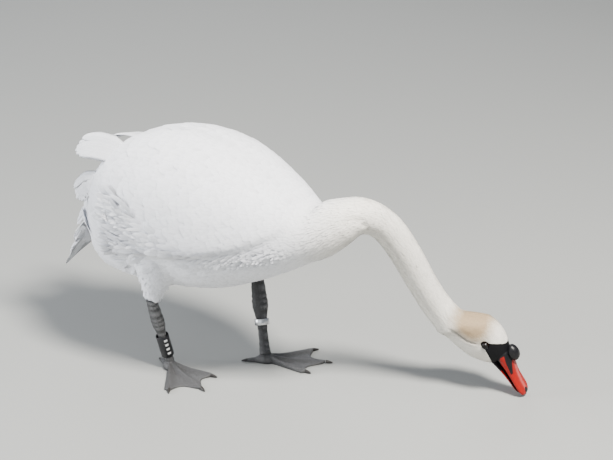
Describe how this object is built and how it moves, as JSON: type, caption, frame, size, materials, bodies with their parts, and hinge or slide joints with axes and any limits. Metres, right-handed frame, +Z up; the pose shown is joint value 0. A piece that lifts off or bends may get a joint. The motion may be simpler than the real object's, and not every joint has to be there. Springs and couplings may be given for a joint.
{
  "type": "mute swan",
  "caption": "A grazing mute swan, life size and still: standing on two webbed feet with its neck arched over and its bill down at the ground.",
  "frame": {"origin": "on the ground, under the middle of the whole model's box", "axes": "+X the way the body heads, +Y the bird's left, +Z up"},
  "size_m": [0.8796, 0.3786, 0.446],
  "materials": {
    "body_feathers": "soft white contour feathers",
    "neck_feathers": "short velvety cream-white feathers",
    "head_feathers": "very short feathers, white with a buff crown",
    "wing_feathers": "smooth white overlapping feathers",
    "tail_feathers": "smooth white quill feathers",
    "bill_skin": "waxy orange-red with black edges",
    "knob_skin": "satin black",
    "eye": "wet dark brown",
    "leg_skin": "dark grey scaly skin",
    "claw": "satin dark horn",
    "plastic_ring": "black laminate",
    "metal_ring": "worn satin"
  },
  "bodies": {
    "root": {"trunk": "body_feathers", "neck_root": "neck_feathers", "neck_base": "neck_feathers", "neck_arch": "neck_feathers", "neck_middle": "neck_feathers", "neck_upper": "neck_feathers", "head": "head_feathers", "bill_upper": "bill_skin", "bill_lower": "bill_skin", "bill_knob": "knob_skin", "eye_L": "eye", "eye_R": "eye", "wing_L": "wing_feathers", "wing_L_tertials": "wing_feathers", "wing_L_secondaries": "wing_feathers", "wing_L_primaries": "wing_feathers", "wing_R": "wing_feathers", "wing_R_tertials": "wing_feathers", "wing_R_secondaries": "wing_feathers", "wing_R_primaries": "wing_feathers", "tail": "tail_feathers", "thigh_L": "body_feathers", "thigh_R": "body_feathers", "shank_L": "leg_skin", "shank_R": "leg_skin", "foot_L": "leg_skin", "foot_R": "leg_skin", "claw_L1": "claw", "claw_L2": "claw", "claw_L3": "claw", "claw_L4": "claw", "claw_R1": "claw", "claw_R2": "claw", "claw_R3": "claw", "claw_R4": "claw", "ring_plastic": "plastic_ring", "ring_metal": "metal_ring"}
  },
  "joints": []
}
